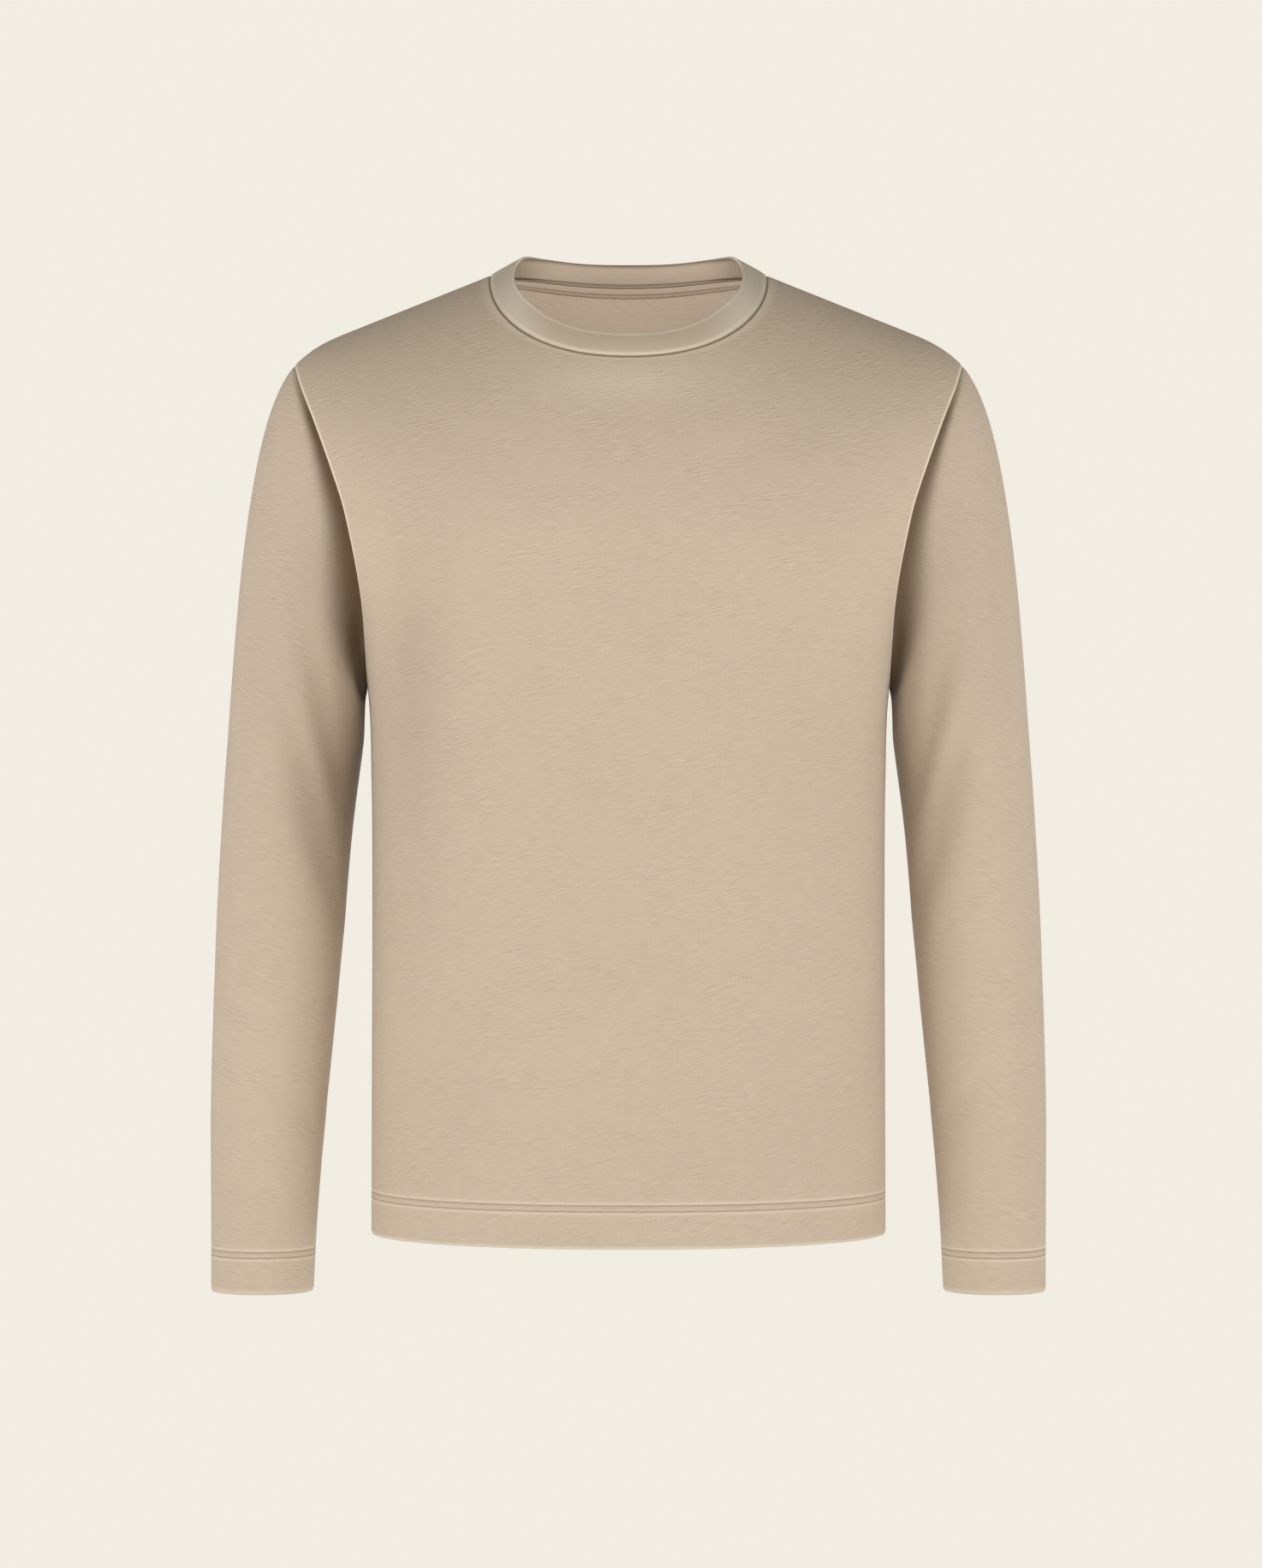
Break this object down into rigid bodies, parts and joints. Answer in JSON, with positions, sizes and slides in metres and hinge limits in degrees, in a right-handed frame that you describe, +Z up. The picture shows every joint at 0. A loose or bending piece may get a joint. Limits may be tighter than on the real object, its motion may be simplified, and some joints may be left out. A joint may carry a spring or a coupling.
{
  "type": "long-sleeved t-shirt",
  "caption": "Filled-out long-sleeved crew-neck jersey t-shirt with ribbed neckband, set-in sleeves hanging down, and open neck, hem and cuffs.",
  "frame": {"origin": "midway between the neck ends of the two shoulder seams, where the garment rests on the wearer's shoulders", "axes": "+Z up along the body, -Y towards the front, +X towards the wearer's left"},
  "size_m": [0.5966, 0.2501, 0.7424],
  "materials": {
    "jersey": "matt fine jersey, warm beige",
    "rib": "matt fine rib, folded double, warm beige",
    "tape": "matt self-fabric tape, stitched, warm beige"
  },
  "bodies": {
    "root": {"front_panel": "jersey", "back_panel": "jersey", "sleeve_left": "jersey", "sleeve_right": "jersey", "neckband": "rib", "neck_tape": "tape"}
  },
  "joints": []
}
